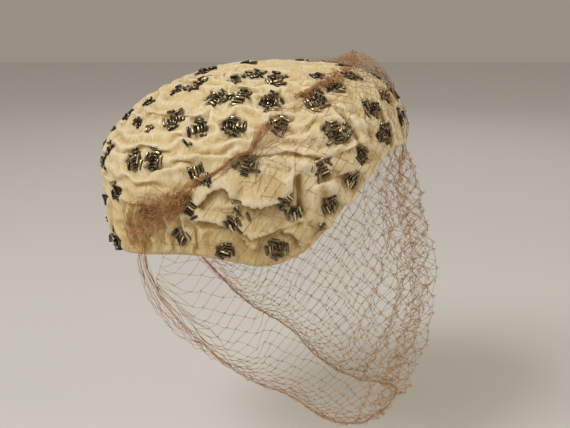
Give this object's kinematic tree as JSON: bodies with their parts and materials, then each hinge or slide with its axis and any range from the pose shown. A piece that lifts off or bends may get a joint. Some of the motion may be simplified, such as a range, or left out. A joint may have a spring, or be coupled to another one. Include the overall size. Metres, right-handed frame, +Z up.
{
  "type": "crescent hat",
  "caption": "Deep velvet half hat, puffed and pinned with heaps of bugle beads, with a net veil gathered over the crown and hanging round the face",
  "frame": {"origin": "the top of the head inside the crown, where the head holds the hat", "axes": "+Z up, -Y towards the wearer's front, +X towards the wearer's left"},
  "size_m": [0.1732, 0.2384, 0.2705],
  "materials": {
    "velvet": "ivory cotton velvet, soft short pile, puffed and tucked",
    "net": "tan knotted diamond net, fine dry strands",
    "gathered_net": "the same tan net drawn up in a dense rope and wads",
    "bugle_beads": "dark bronze glass bugle beads with bright highlights"
  },
  "bodies": {
    "root": {"crown": "velvet", "veil_gather": "gathered_net", "veil_net_top": "net", "veil_net_brow_right": "net", "veil_net_brow_left": "net", "veil_net_chin_right": "net", "veil_net_chin_left": "net", "veil_net_right": "net", "veil_net_left": "net", "bead_cluster_01": "bugle_beads", "bead_cluster_02": "bugle_beads", "bead_cluster_03": "bugle_beads", "bead_cluster_04": "bugle_beads", "bead_cluster_05": "bugle_beads", "bead_cluster_06": "bugle_beads", "bead_cluster_07": "bugle_beads", "bead_cluster_08": "bugle_beads", "bead_cluster_09": "bugle_beads", "bead_cluster_10": "bugle_beads", "bead_cluster_11": "bugle_beads", "bead_cluster_12": "bugle_beads", "bead_cluster_13": "bugle_beads", "bead_cluster_14": "bugle_beads", "bead_cluster_15": "bugle_beads", "bead_cluster_16": "bugle_beads", "bead_cluster_17": "bugle_beads", "bead_cluster_18": "bugle_beads", "bead_cluster_19": "bugle_beads", "bead_cluster_20": "bugle_beads", "bead_cluster_21": "bugle_beads", "bead_cluster_22": "bugle_beads", "bead_cluster_23": "bugle_beads", "bead_cluster_24": "bugle_beads", "bead_cluster_25": "bugle_beads", "bead_cluster_26": "bugle_beads", "bead_cluster_27": "bugle_beads", "bead_cluster_28": "bugle_beads", "bead_cluster_29": "bugle_beads", "bead_cluster_30": "bugle_beads", "bead_cluster_31": "bugle_beads", "bead_cluster_32": "bugle_beads", "bead_cluster_33": "bugle_beads", "bead_cluster_34": "bugle_beads", "bead_cluster_35": "bugle_beads", "bead_cluster_36": "bugle_beads", "bead_cluster_37": "bugle_beads", "bead_cluster_38": "bugle_beads", "bead_cluster_39": "bugle_beads", "bead_cluster_40": "bugle_beads"}
  },
  "joints": []
}
